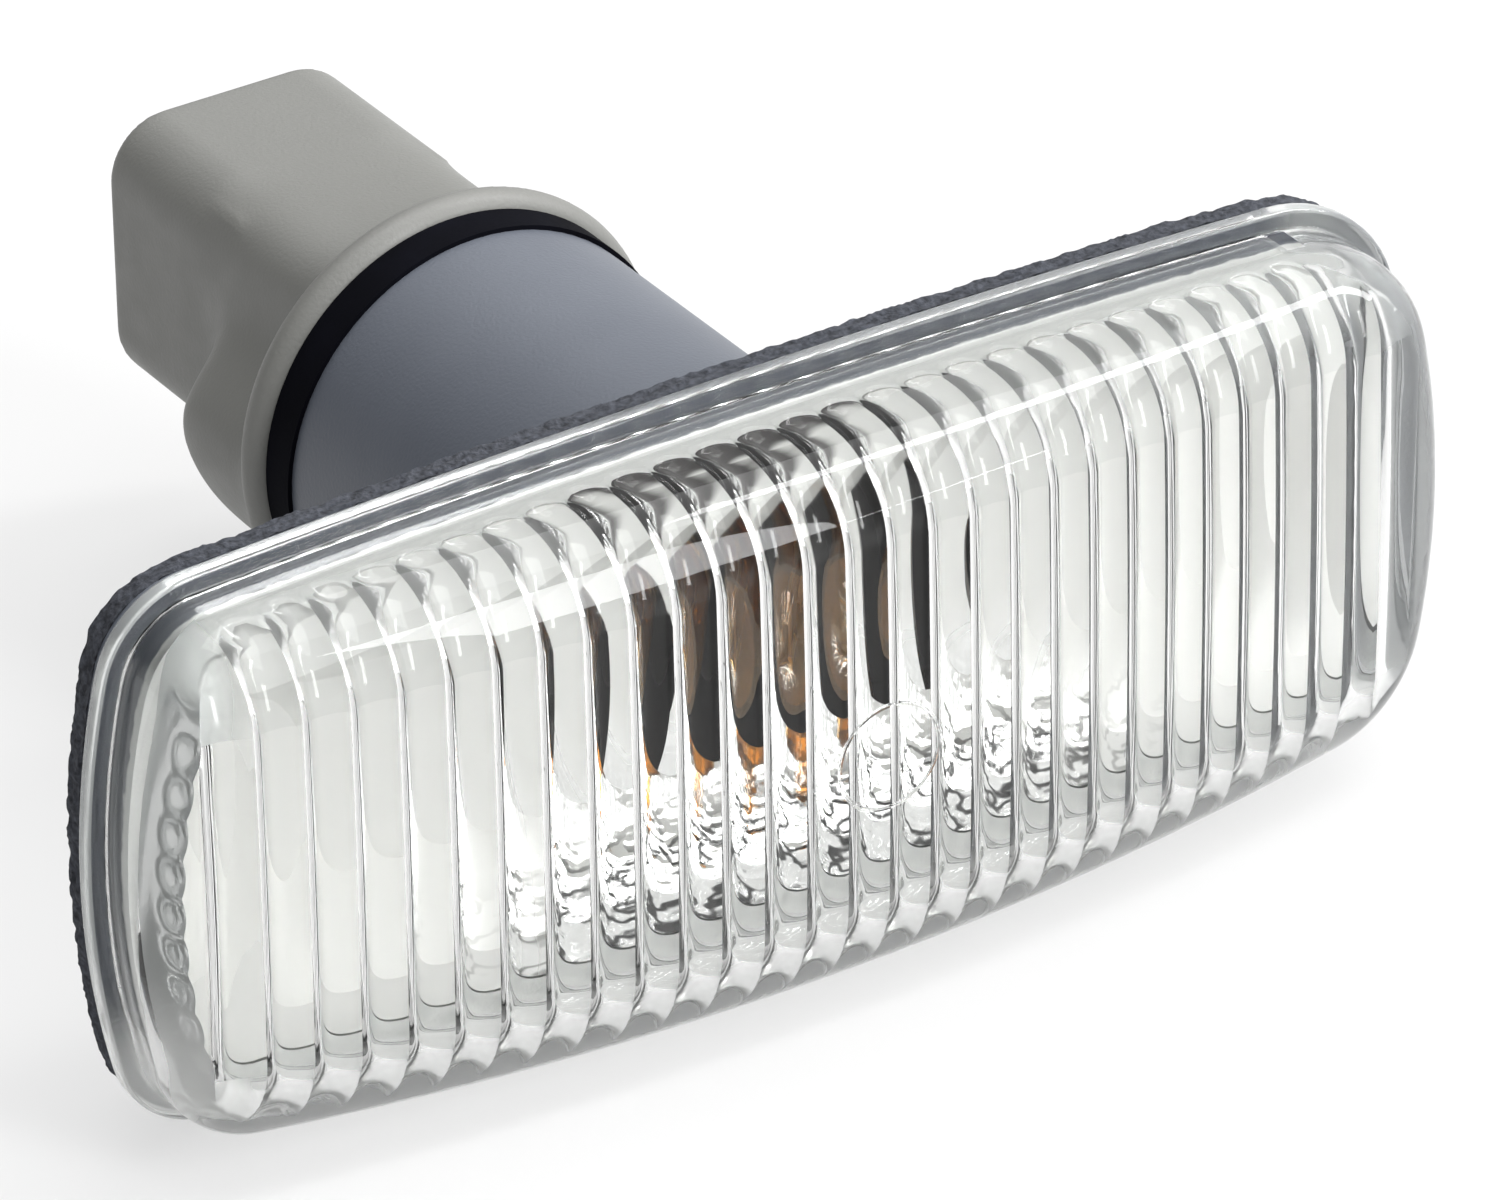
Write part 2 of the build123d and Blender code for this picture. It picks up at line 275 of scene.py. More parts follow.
# Metals: name, colour, roughness, scale and height of the ripple
brass = ("contact_brass", (0.78, 0.62, 0.34, 1), 0.3, 800.0, 0.00002)
lead_wire = ("lead_wire", (0.7, 0.69, 0.66, 1), 0.3, 800.0, 0.00001)
filament_wire = ("filament_wire", (0.33, 0.33, 0.34, 1), 0.4, 3000.0, 0.00005)
metal_rough_scale = 300.0
metal_rough_spread = 0.2

# Studio: the radiance of room and floor, and the softboxes
room_dark = 0.07
room_light = 1.0
room_zone = (0.25, 0.85)
bright_side = (0.7, -0.3, 0.62)
floor_grey = 0.22
floor_glow = 0.6
floor_roughness = 0.9
floor_half = 4.0
floor_gap = 0.0002
# name, azimuth, elevation, width, height, radiance
softboxes = (
    ("overhead_softbox", 20, 78, 0.9, 0.9, 2.6),
    ("front_softbox", -70, 27, 0.26, 0.66, 16.0),
    ("front_strip", -58, 9.5, 0.16, 0.015, 28.0),
    ("right_strip", -15, 42, 0.12, 0.9, 18.0),
)


def arc_radius(half_chord, sagitta):
    return (half_chord**2 + sagitta**2) / (2 * sagitta)


class Outline:
    """Lamp outline drawn in by an inset: four bowed edges joined by corner arcs, in x and z."""

    def __init__(self, inset):
        self.reach = half_length - inset
        self.rise = half_height - inset
        self.long_radius = arc_radius(self.reach - end_bow, long_edge_bow)
        self.end_radius = arc_radius(self.rise - long_edge_bow, end_bow)
        self.long_centre = self.rise - self.long_radius
        self.end_centre = self.reach - self.end_radius
        self.left = self.corner(left_corner_radius - inset)
        self.right = self.corner(right_corner_radius - inset)

    def corner(self, radius):
        """Radius and centre of the arc that rounds an upper corner, in the x > 0 half."""
        to_long = self.long_radius - radius
        to_end = self.end_radius - radius
        apart = math.hypot(self.end_centre, self.long_centre)
        along = (to_long**2 - to_end**2 + apart**2) / (2 * apart)
        across = math.sqrt(to_long**2 - along**2)
        ux = self.end_centre / apart
        uz = -self.long_centre / apart
        centres = []
        for off in (-across, across):
            centres.append((along * ux + off * uz, self.long_centre + along * uz - off * ux))
        x, z = max(centres, key=sum)
        return radius, x, z

    def side(self, sign):
        return self.right if sign > 0 else self.left

    def long_edge(self, x):
        return self.long_centre + np.sqrt(self.long_radius**2 - x**2)

    def long_end(self, sign):
        """x where the long edge meets the corner arc of that side."""
        radius, x, z = self.side(sign)
        return self.long_radius * x / (self.long_radius - radius)

    def end_edge(self, z, sign):
        """Reach of the outline at a height z, on the end or on the corner arc."""
        radius, x, cz = self.side(sign)
        turn = self.end_radius * cz / (self.end_radius - radius)
        height = np.abs(z)
        on_end = self.end_centre + np.sqrt(self.end_radius**2 - np.minimum(height, turn) ** 2)
        past = np.clip(height - cz, 0, radius)
        on_corner = x + np.sqrt(radius**2 - past**2)
        return np.where(height > turn, on_corner, on_end)

    def arcs(self):
        """Centre, radius, start, stop and steps of the arcs around the outline."""
        radius, x, z = self.right
        top = math.atan2(z - self.long_centre, x)
        end = math.atan2(z, x - self.end_centre)
        left_radius, left_x, left_z = self.left
        left_top = math.atan2(left_z - self.long_centre, left_x)
        left_end = math.atan2(left_z, left_x - self.end_centre)
        pi = math.pi
        return (
            (self.end_centre, 0, self.end_radius, -end, end, end_steps),
            (x, z, radius, end, top, corner_steps),
            (0, self.long_centre, self.long_radius, top, pi - left_top, long_steps),
            (-left_x, left_z, left_radius, pi - left_top, pi - left_end, corner_steps),
            (-self.end_centre, 0, self.end_radius, pi - left_end, pi + left_end, end_steps),
            (-left_x, -left_z, left_radius, pi + left_end, pi + left_top, corner_steps),
            (0, -self.long_centre, self.long_radius, pi + left_top, 2 * pi - top, long_steps),
            (x, -z, radius, 2 * pi - top, 2 * pi - end, corner_steps),
        )

    def loop(self):
        """Points around the outline with their outward normals, as arrays of x and z."""
        points = []
        normals = []
        for cx, cz, radius, start, stop, steps in self.arcs():
            angle = np.linspace(start, stop, steps, endpoint=False)
            normal = np.stack([np.cos(angle), np.sin(angle)], axis=1)
            points.append(np.array([cx, cz]) + radius * normal)
            normals.append(normal)
        return np.concatenate(points), np.concatenate(normals)

    def even_loop(self, count):
        """The loop resampled to a count of points at even spacing."""
        points, normals = self.loop()
        closed = np.vstack([points, points[:1]])
        way = np.concatenate([[0], np.cumsum(np.linalg.norm(np.diff(closed, axis=0), axis=1))])
        turned = np.vstack([normals, normals[:1]])
        spots = np.linspace(0, way[-1], count, endpoint=False)
        even = np.stack([np.interp(spots, way, closed[:, i]) for i in (0, 1)], axis=1)
        facing = np.stack([np.interp(spots, way, turned[:, i]) for i in (0, 1)], axis=1)
        return even, facing / np.linalg.norm(facing, axis=1, keepdims=True)


class MeshMaker:
    """Collects grids of points in millimetres and makes one welded mesh."""

    def __init__(self):
        self.verts = []
        self.faces = []
        self.finishes = []

    def grid(self, points, closed=False, finish=None):
        """Quads over rows and columns of points.

        closed joins the last column to the first, and finish gives the number of the material
        of each strip between two rows."""
        points = np.asarray(points, float)
        rows, columns = points.shape[:2]
        base = len(self.verts)
        self.verts.extend(map(tuple, points.reshape(-1, 3) * MM))
        across = columns if closed else columns - 1
        for row in range(rows - 1):
            here = base + row * columns
            above = here + columns
            for c in range(across):
                d = (c + 1) % columns
                self.faces.append((here + c, here + d, above + d, above + c))
            number = 0 if finish is None else int(finish[row])
            self.finishes += [number] * across

    def make(self, name):
        """Mesh of all the grids, with the rims that stay open filled."""
        mesh = bpy.data.meshes.new(name)
        mesh.from_pydata(self.verts, [], self.faces)
        mesh.polygons.foreach_set("material_index", self.finishes)
        bm = bmesh.new()
        bm.from_mesh(mesh)
        bmesh.ops.remove_doubles(bm, verts=bm.verts, dist=grid_weld)
        bmesh.ops.dissolve_degenerate(bm, edges=bm.edges, dist=grid_weld)
        open_edges = [e for e in bm.edges if e.is_boundary]
        if open_edges:
            bmesh.ops.triangle_fill(bm, edges=open_edges, use_beauty=True)
        bmesh.ops.recalc_face_normals(bm, faces=bm.faces)
        bm.to_mesh(mesh)
        bm.free()
        return link(name, mesh)


def link(name, mesh):
    piece = bpy.data.objects.new(name, mesh)
    bpy.context.scene.collection.objects.link(piece)
    return piece


def spread(x, forward, z):
    """Points in the lamp's frame from x, forward and z."""
    x, forward, z = np.broadcast_arrays(x, forward, z)
    return np.stack([x, -forward, z], axis=-1)


def ease(value, start, stop):
    """Smooth step from 0 at start to 1 at stop."""
    part = np.clip((value - start) / (stop - start), 0, 1)
    return part * part * (3 - 2 * part)


def dome(x, z):
    """Forward reach of the bowed and crowned outer front."""
    drop = front_crown_radius - np.sqrt(front_crown_radius**2 - z**2)
    return np.sqrt((front_bow_radius - drop) ** 2 - x**2) - bow_centre


def dome_normal(x, z):
    """Outward normal of the front, as x, forward and z."""
    step = 0.01
    slope_x = (dome(x + step, z) - dome(x - step, z)) / (2 * step)
    slope_z = (dome(x, z + step) - dome(x, z - step)) / (2 * step)
    normal = np.stack([-slope_x, np.ones_like(x), -slope_z], axis=-1)
    return normal / np.linalg.norm(normal, axis=-1, keepdims=True)


def quarter_round(out, forward, radius, start):
    """Points of a quarter circle around a centre, from a start angle in degrees, turning back."""
    angles = np.radians(np.linspace(start, start - 90, edge_steps + 1))
    return [(out + radius * math.cos(a), forward - radius * math.sin(a)) for a in angles]


def flange_profile():
    """Section of the flange from its back to the lens wall, as outward and forward places."""
    back = flange_back + weld_gap
    front = flange_back + flange_thickness
    far = flange_width - flange_edge
    profile = [(far - support, back)]
    profile += quarter_round(far, back + flange_edge, flange_edge, 90)
    profile += quarter_round(far, front - flange_edge, flange_edge, 0)
    profile += [(far - support, front), (flange_edge + support, front)]
    corner = quarter_round(flange_edge, front + flange_edge, flange_edge, 180)
    profile += corner[::-1]
    profile.append((0, front + flange_edge + support))
    return profile


def satin_where(rows):
    """Number of the material of each strip: satin where rows is true, else clear."""
    return np.where(rows, satin_finish, clear_finish)


def lens_outside(maker):
    """Flange, wall, rounded front edge and dome, as rings around the outline."""
    points, normals = Outline(flange_width).loop()
    x, z = points.T
    nx, nz = normals.T
    rings = [spread(x + out * nx, forward, z + out * nz) for out, forward in flange_profile()]
    r = front_edge_radius
    cx = x - r * nx
    cz = z - r * nz
    tilt = dome_normal(cx, cz)
    centre = dome(cx, cz) - r / tilt[:, 1]
    rings.append((rings[-1] + spread(x, centre, z)) / 2)
    rings.append(spread(x, centre - support, z))
    side = np.stack([nx, np.zeros_like(nx), nz], axis=-1)
    angle = np.arccos(np.clip((side * tilt).sum(1), -1, 1))[:, None]
    for part in np.linspace(0, 1, round_steps + 1):
        way = (np.sin((1 - part) * angle) * side + np.sin(part * angle) * tilt) / np.sin(angle)
        rings.append(spread(cx + r * way[:, 0], centre + r * way[:, 1], cz + r * way[:, 2]))
    rim_x = rings[-1][:, 0]
    rim_z = rings[-1][:, 2]
    spine = rim_x * (half_length - half_height) / np.abs(rim_x).max()
    for part in np.linspace(0, 1, dome_rings + 1)[1:]:
        px = rim_x + (spine - rim_x) * part
        pz = rim_z * (1 - part)
        rings.append(spread(px, dome(px, pz), pz))
    on_flange = np.arange(len(rings)) < flange_rings
    maker.grid(rings, closed=True, finish=satin_where(on_flange))


def rib(offset, pitch, height):
    """Height of a round rib at an offset from its middle, zero from half a pitch on."""
    radius = ((pitch / 2) ** 2 + height**2) / (2 * height)
    away = np.minimum(np.abs(offset), pitch / 2)
    return np.sqrt(radius**2 - away**2) - (radius - height)


cavity = Outline(cavity_inset)
flute_pitch = 2 * (cavity.reach - flute_end_margin) / flute_count
end_flute_pitch = 2 * (cavity.rise - end_flute_margin) / end_flute_count


def nearest_rib(value, pitch, count):
    return np.clip(np.round(value / pitch), -(count // 2), count // 2) * pitch


def flute_rise(x, to_end):
    """Rise of the flutes at x, at a distance from their rounded ends on the long walls."""
    past_end = np.maximum(flute_pitch / 2 - to_end, 0)
    offset = np.hypot(x - nearest_rib(x, flute_pitch, flute_count), past_end)
    return rib(offset, flute_pitch, flute_height)


def end_rise(z):
    """Rise of the small flutes along an end wall."""
    offset = z - nearest_rib(z, end_flute_pitch, end_flute_count)
    return rib(offset, end_flute_pitch, end_flute_height)


def inner_front(x):
    """Forward reach of the inner skin's groove level behind the front."""
    return np.sqrt((front_bow_radius - front_wall) ** 2 - x**2) - bow_centre


def smooth_skin(kind, part, x):
    """Forward, height and inward normal of the inner skin without flutes, on one upper row."""
    top = cavity.long_edge(x)
    front = inner_front(x)
    bend = front - bend_radius
    if kind == "wall":
        back = flange_back + weld_gap
        return back + (bend - back) * part, top, 0.0, -1.0
    if kind == "front":
        return front, (top - bend_radius) * part, -1.0, 0.0
    angle = part * math.pi / 2
    forward = bend + bend_radius * math.sin(angle)
    height = top - bend_radius + bend_radius * math.cos(angle)
    return forward, height, -math.sin(angle), -math.cos(angle)


def end_limit(kind, part, sign):
    """x where a row of the inner skin meets the end wall, found in a few rounds."""
    limit = sign * cavity.long_end(sign)
    if kind == "wall":
        return limit
    for _ in range(end_rounds):
        forward, height, _, _ = smooth_skin(kind, part, np.array([limit]))
        limit = sign * float(cavity.end_edge(height[0], sign) - end_rise(height[0]))
    return limit


def skin_row(kind, part, sign, columns):
    """One row of the fluted skin, upper or lower by the sign."""
    x = np.clip(columns, end_limit(kind, part, -1), end_limit(kind, part, 1))
    forward, height, n_forward, n_height = smooth_skin(kind, part, x)
    to_end = np.full_like(x, flute_pitch)
    if kind == "wall":
        to_end = np.minimum(forward - flute_start + flute_pitch / 2, flute_pitch)
    rise = flute_rise(x, to_end)
    return spread(x, forward + n_forward * rise, sign * (height + n_height * rise))


def lens_inside(maker):
    """Fluted inner skin: a sheet over the long walls and the front, and two end walls."""
    flute_edge = flute_count * flute_pitch / 2
    flutes = np.linspace(-flute_edge, flute_edge, flute_count * columns_per_flute + 1)
    extra = np.linspace(flute_edge, cavity.reach, margin_columns)[1:]
    columns = np.concatenate([-extra[::-1], flutes, extra])
    rows = [("wall", i / wall_rows) for i in range(wall_rows + 1)]
    rows += [("bend", i / bend_rows) for i in range(1, bend_rows)]
    rows += [("front", 1 - 2 * i / front_rows) for i in range(front_rows // 2 + 1)]
    sheet = [skin_row(kind, part, 1, columns) for kind, part in rows]
    sheet += [skin_row(kind, part, -1, columns) for kind, part in rows[-2::-1]]
    sheet = np.array(sheet)
    middle = sheet[:-1, len(columns) // 2]
    on_bend = np.abs(middle[:, 2]) > cavity.rise - bend_radius
    maker.grid(sheet, finish=satin_where(on_bend & (-middle[:, 1] > satin_start)))
    for sign, column in ((-1, 0), (1, -1)):
        panel = end_panel(sheet[:, column], sign)
        middle = panel[:-1, panel.shape[1] // 2]
        maker.grid(panel, finish=satin_where(-middle[:, 1] > end_satin_start))


def end_panel(border, sign):
    """End wall of the inner skin, from the skirt to the border of the fluted sheet."""
    wall = border[: wall_rows + 1]
    lower_wall = border[: -wall_rows - 2 : -1]
    ends = border[wall_rows : len(border) - wall_rows]
    levels = (wall[:, 1] - wall[0, 1]) / (wall[-1, 1] - wall[0, 1])
    z = ends[:, 2]
    foot_x = sign * cavity.end_edge(z, sign)
    panel = []
    for level in levels:
        start = np.clip((level - end_flute_start) / (1 - end_flute_start), 0, 1)
        x = foot_x + (ends[:, 0] - foot_x) * start
        y = wall[0, 1] + (ends[:, 1] - wall[0, 1]) * level
        panel.append(np.stack([x, y, z], axis=-1))
    panel = np.array(panel)
    panel[:, 0] = wall
    panel[:, -1] = lower_wall
    return panel


def make_lens():
    """Lens with satin flange, bends, ends and weld seam, and the ring's zone on its front."""
    maker = MeshMaker()
    lens_outside(maker)
    lens_inside(maker)
    piece = maker.make("lens_clear")
    for face in piece.data.polygons:
        x, y, z = face.center / MM
        to_ring = math.hypot(x - ring_centre[0], z - ring_centre[2])
        on_front = abs(y - ring_centre[1]) < ring_depth
        on_seam = y > -seam_front
        if on_front and to_ring < ring_radius + ring_margin:
            face.material_index = ring_finish
        elif on_seam and (x > milky_seam_right or z < milky_seam_low):
            face.material_index = satin_finish
    return piece


def rough_line(seed, count, passes):
    """Closed row of random values from 0 to 1, smoothed by a number of passes."""
    values = np.random.default_rng(seed).random(count)
    for _ in range(passes):
        values = (np.roll(values, 1) + values + np.roll(values, -1)) / 3
    return (values - values.min()) / (values.max() - values.min())


def make_gasket():
    """Foam ring with a frayed outer edge that stays inside its cut outline."""
    maker = MeshMaker()
    points, normals = Outline(gasket_inset).even_loop(gasket_columns)
    inner, _ = Outline(gasket_inner_inset).even_loop(gasket_columns)
    wave = rough_line(wave_seed, gasket_columns, wave_passes)
    rows = [spread(inner[:, 0], weld_gap, inner[:, 1])]
    for i, forward in enumerate(np.linspace(weld_gap, gasket_front - weld_gap, gasket_rows)):
        tufts = rough_line(first_row_seed + i, gasket_columns, 1)
        fray = gasket_fray * (wave_share * wave + (1 - wave_share) * tufts)
        edge = points - fray[:, None] * normals
        rows.append(spread(edge[:, 0], forward, edge[:, 1]))
    rows.append(spread(inner[:, 0], gasket_front - weld_gap, inner[:, 1]))
    rows.append(rows[0])
    maker.grid(rows, closed=True)
    return maker.make("gasket_foam")


def welded_copy(node, name):
    """Copy of a solid's mesh with its split edges joined."""
    bm = bmesh.new()
    bm.from_mesh(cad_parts[node].data)
    bm.transform(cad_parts[node].matrix_world)
    bmesh.ops.remove_doubles(bm, verts=bm.verts, dist=solid_weld)
    mesh = bpy.data.meshes.new(name)
    bm.to_mesh(mesh)
    bm.free()
    return link(name, mesh)


def even_mesh(piece, size):
    """Replaces a closed mesh by one of even small quads over the same form."""
    remesh = piece.modifiers.new("even", "REMESH")
    remesh.mode = "VOXEL"
    remesh.voxel_size = size
    shown = piece.evaluated_get(bpy.context.evaluated_depsgraph_get())
    mesh = bpy.data.meshes.new_from_object(shown)
    piece.modifiers.clear()
    piece.data = mesh


def blend_share(x, y, z):
    """How far each point of the holder gives way when its creases are blended, 0 to 1."""
    share = ease(y, blend_start, blend_full) * (1 - ease(y, blend_fade, blend_end))
    inside_core = np.hypot(x, z) < core_radius
    off_x = np.abs(x - block_centre[0])
    off_z = np.abs(z - block_centre[1])
    inside_shroud = (off_x < shroud_half[0]) & (off_z < shroud_half[1]) & (y > shroud_floor)
    return np.where(inside_core | inside_shroud, 0.0, share)


def smooth_points(mesh, share, rounds):
    """Draws each point towards the middle of its neighbours, by its share, in rounds."""
    count = len(mesh.vertices)
    points = np.empty(count * 3)
    mesh.vertices.foreach_get("co", points)
    points = points.reshape(-1, 3)
    ends = np.empty(len(mesh.edges) * 2, dtype=np.int64)
    mesh.edges.foreach_get("vertices", ends)
    first, second = ends.reshape(-1, 2).T
    into = np.concatenate([first, second])
    source = np.concatenate([second, first])
    neighbours = np.bincount(into, minlength=count)
    give = 0.5 * share(*(points / MM).T)
    for _ in range(rounds):
        for axis in range(3):
            total = np.bincount(into, weights=points[source, axis], minlength=count)
            points[:, axis] += give * (total / neighbours - points[:, axis])
    mesh.vertices.foreach_set("co", points.ravel())
    mesh.update()


def make_holder():
    """Holder with the creases between its block, skirt and collar blended as moulded."""
    piece = welded_copy("holder", "holder_soft")
    even_mesh(piece, holder_voxel * MM)
    smooth_points(piece.data, blend_share, blend_rounds)
    return piece


def shade(piece, sharp_angle):
    """Smooth shading, with edges over an angle kept sharp."""
    mesh = piece.data
    mesh.polygons.foreach_set("use_smooth", [True] * len(mesh.polygons))
    mesh.set_sharp_from_angle(angle=math.radians(sharp_angle))


def new_material(name):
    material = bpy.data.materials.new(name)
    material.use_nodes = True
    return material, material.node_tree, material.node_tree.nodes["Principled BSDF"]


def socket_values(shader, **values):
    for name, value in values.items():
        shader.inputs[name.replace("_", " ")].default_value = value


def object_place(tree):
    """Place on the lamp in metres."""
    return tree.nodes.new("ShaderNodeTexCoord").outputs["Object"]


def place_along(tree, axis):
    """Place along one axis of the lamp, in millimetres."""
    parts = tree.nodes.new("ShaderNodeSeparateXYZ")
    tree.links.new(object_place(tree), parts.inputs["Vector"])
    return math_node(tree, "DIVIDE", parts.outputs[axis], MM)


def vector_node(tree, operation, first, second):
    """Outputs of a vector sum, product or the like of a socket and a fixed vector."""
    node = tree.nodes.new("ShaderNodeVectorMath")
    node.operation = operation
    node.inputs[1].default_value = second
    tree.links.new(first, node.inputs[0])
    return node.outputs


def noise(tree, scale, detail=4.0, stretch=None):
    """Noise over the lamp, drawn out along x by a stretch."""
    texture = tree.nodes.new("ShaderNodeTexNoise")
    texture.inputs["Scale"].default_value = scale
    texture.inputs["Detail"].default_value = detail
    place = object_place(tree)
    if stretch is not None:
        place = vector_node(tree, "MULTIPLY", place, (1 / stretch, 1, 1))["Vector"]
    tree.links.new(place, texture.inputs["Vector"])
    return texture.outputs["Fac"]


def grey(value):
    return (value, value, value, 1)


def ramp(tree, factor, low, high, start=0.3, stop=0.7):
    """Colour ramp between two colours over a factor."""
    node = tree.nodes.new("ShaderNodeValToRGB")
    node.color_ramp.elements[0].position = start
    node.color_ramp.elements[1].position = stop
    node.color_ramp.elements[0].color = low
    node.color_ramp.elements[1].color = high
    tree.links.new(factor, node.inputs["Fac"])
    return node.outputs["Color"]


def full_ramp(tree, factor, low, high):
    """Colour ramp over the whole of a factor from 0 to 1."""
    return ramp(tree, factor, low, high, 0, 1)


def mix(tree, factor, first, second):
    """Mix of two colours by a factor; the second is a colour or a socket."""
    node = tree.nodes.new("ShaderNodeMix")
    node.data_type = "RGBA"
    colours = [socket for socket in node.inputs if socket.type == "RGBA"]
    tree.links.new(factor, node.inputs[0])
    tree.links.new(first, colours[0])
    if isinstance(second, tuple):
        colours[1].default_value = second
    else:
        tree.links.new(second, colours[1])
    return [socket for socket in node.outputs if socket.type == "RGBA"][0]


def math_node(tree, operation, first, second):
    """Sum, product or the like of two values, each a number or a socket."""
    node = tree.nodes.new("ShaderNodeMath")
    node.operation = operation
    for socket, value in zip(node.inputs, (first, second)):
        if isinstance(value, (int, float)):
            socket.default_value = value
        else:
            tree.links.new(value, socket)
    return node.outputs["Value"]


def product(tree, first, second):
    return math_node(tree, "MULTIPLY", first, second)


def difference(tree, first, second):
    return math_node(tree, "SUBTRACT", first, second)


def larger(tree, first, second):
    return math_node(tree, "MAXIMUM", first, second)


def unsigned(tree, value):
    return math_node(tree, "ABSOLUTE", value, 0)


def squared_over(tree, value, divisor):
    return math_node(tree, "DIVIDE", product(tree, value, value), divisor)


def blend(tree, factor, first, second):
    """Mix of two values by a factor."""
    change = product(tree, factor, difference(tree, second, first))
    return math_node(tree, "ADD", first, change)


def distance_from(tree, centre, scale):
    """Distance in millimetres from a point of the lamp, with each axis scaled."""
    shifted = vector_node(tree, "SUBTRACT", object_place(tree), Vector(centre) * MM)["Vector"]
    scaled = vector_node(tree, "MULTIPLY", shifted, Vector(scale) / MM)["Vector"]
    return vector_node(tree, "LENGTH", scaled, (0, 0, 0))["Value"]


def span(tree, value, start, stop):
    """Value mapped to 0 at start and 1 at stop, smooth and clamped."""
    node = tree.nodes.new("ShaderNodeMapRange")
    node.interpolation_type = "SMOOTHSTEP"
    node.inputs["From Min"].default_value = start
    node.inputs["From Max"].default_value = stop
    tree.links.new(value, node.inputs["Value"])
    return node.outputs["Result"]


def bump(tree, shader, height, distance):
    node = tree.nodes.new("ShaderNodeBump")
    node.inputs["Strength"].default_value = 1.0
    node.inputs["Distance"].default_value = distance
    tree.links.new(height, node.inputs["Height"])
    tree.links.new(node.outputs["Normal"], shader.inputs["Normal"])


def grain(tree, shader):
    """Fine grain of a moulded surface."""
    bump(tree, shader, noise(tree, grain_scale, grain_detail), grain_height)


def clear_plastic(name):
    material, tree, shader = new_material(name)
    socket_values(shader, Base_Color=plastic_tint, Roughness=0.0, IOR=plastic_ior)
    socket_values(shader, Transmission_Weight=1.0, Specular_Tint=grey(plastic_shine))
    return material, tree, shader


def ringed_plastic():
    """Clear plastic with a faint plain ring moulded on it."""
    material, tree, shader = clear_plastic("clear_lens_ring")
    from_middle = distance_from(tree, ring_centre, (1, 0, 1))
    from_line = unsigned(tree, difference(tree, from_middle, ring_radius))
    on_line = difference(tree, 1, span(tree, from_line, 0, ring_line))
    bump(tree, shader, on_line, ring_height)
    return material


def skin_milk(tree, x, y, z, at_end):
    """Milkiness of the satin skin: along the long edges and at the ends, less on the flange."""
    to_edge = math_node(tree, "ADD", unsigned(tree, z), squared_over(tree, x, edge_milk_bow))
    edge_milk = product(tree, span(tree, to_edge, *edge_milk_zone), edge_milk_share)
    end_milk = product(tree, at_end, end_milk_share)
    off_bulb = span(tree, distance_from(tree, clear_place, clear_shape), *clear_zone)
    inner_milk = product(tree, larger(tree, edge_milk, end_milk), off_bulb)
    flange_front = -flange_back - flange_thickness - flange_edge
    on_flange = math_node(tree, "GREATER_THAN", y, flange_front)
    off_flange = difference(tree, 1, product(tree, on_flange, flange_clearing))
    return product(tree, inner_milk, off_flange)


def seam_milk(tree, x, z):
    """Milkiness of the weld seam, along the bottom and at the right end."""
    low = span(tree, z, milky_seam_low, milky_seam_low - milky_seam_low_fade)
    right = span(tree, x, milky_seam_right, milky_seam_right + milky_seam_right_fade)
    return product(tree, larger(tree, low, right), seam_milk_share)


def satin_plastic():
    """The same plastic where it is satin: the flange, the inner bends, the ends and the seam."""
    material, tree, shader = new_material("clear_lens_satin")
    socket_values(shader, Roughness=satin_roughness, IOR=plastic_ior)
    x, y, z = [place_along(tree, axis) for axis in "XYZ"]
    to_end = math_node(tree, "ADD", unsigned(tree, x), squared_over(tree, z, end_milk_bow))
    at_end = span(tree, to_end, *end_milk_zone)
    on_seam = math_node(tree, "GREATER_THAN", y, -seam_front)
    milk = blend(tree, on_seam, skin_milk(tree, x, y, z, at_end), seam_milk(tree, x, z))
    tree.links.new(difference(tree, 1, milk), shader.inputs["Transmission Weight"])
    upper = full_ramp(tree, at_end, milk_edge, milk_end)
    whole = mix(tree, span(tree, z, *milk_low_zone), upper, milk_low)
    # Painted shade: darker towards the right end
    colour = mix(tree, span(tree, x, *painted_shade_right_end_zone), whole, painted_shade_right_end)
    tree.links.new(colour, shader.inputs["Base Color"])
    return material


def holder_plastic():
    """Warm grey plastic with slight cloudiness and a fine grain, painted dark brown as shade
    inside the neck.
    """
    material, tree, shader = new_material("warm_grey_plastic")
    cloudy = ramp(tree, noise(tree, cloud_scale), holder_dark, holder_light)
    # Painted shade: the holder is dark brown where it lies inside the housing's neck, which the
    # light does not reach
    painted_shade_inside_neck = math_node(tree, "LESS_THAN", place_along(tree, "Y"), painted_shade_to)
    tree.links.new(mix(tree, painted_shade_inside_neck, cloudy, dark_brown), shader.inputs["Base Color"])
    smoother = grey(holder_roughness - holder_rough_spread)
    rougher = grey(holder_roughness + holder_rough_spread)
    rough = ramp(tree, noise(tree, holder_rough_scale), smoother, rougher)
    tree.links.new(rough, shader.inputs["Roughness"])
    grain(tree, shader)
    return material


def slate_housing():
    """Slate plastic, painted dark brown as shade in the bore, and metallised where the rim stands
    inside the lens.
    """
    material, tree, shader = new_material("slate_plastic")
    cloudy = ramp(tree, noise(tree, cloud_scale), slate_dark, slate_light)
    from_axis = distance_from(tree, (0, 0, 0), (1, 0, 1))
    # Painted shade: dark brown inside the bore
    painted_shade_in_bore = math_node(tree, "LESS_THAN", from_axis, bore_radius)
    slate = mix(tree, painted_shade_in_bore, cloudy, dark_brown)
    raggedness = product(tree, noise(tree, metallised_ragged_scale), metallised_ragged)
    ragged = math_node(tree, "ADD", place_along(tree, "Y"), raggedness)
    bright = span(tree, ragged, metallised_from, metallised_from - metallised_fade)
    at_right_end = span(tree, place_along(tree, "X"), *metallised_end_zone)
    coat = full_ramp(tree, at_right_end, metallised, metallised_end)
    tree.links.new(mix(tree, bright, slate, coat), shader.inputs["Base Color"])
    tree.links.new(product(tree, bright, metallised_share), shader.inputs["Metallic"])
    socket_values(shader, Roughness=slate_roughness)
    grain(tree, shader)
    return material


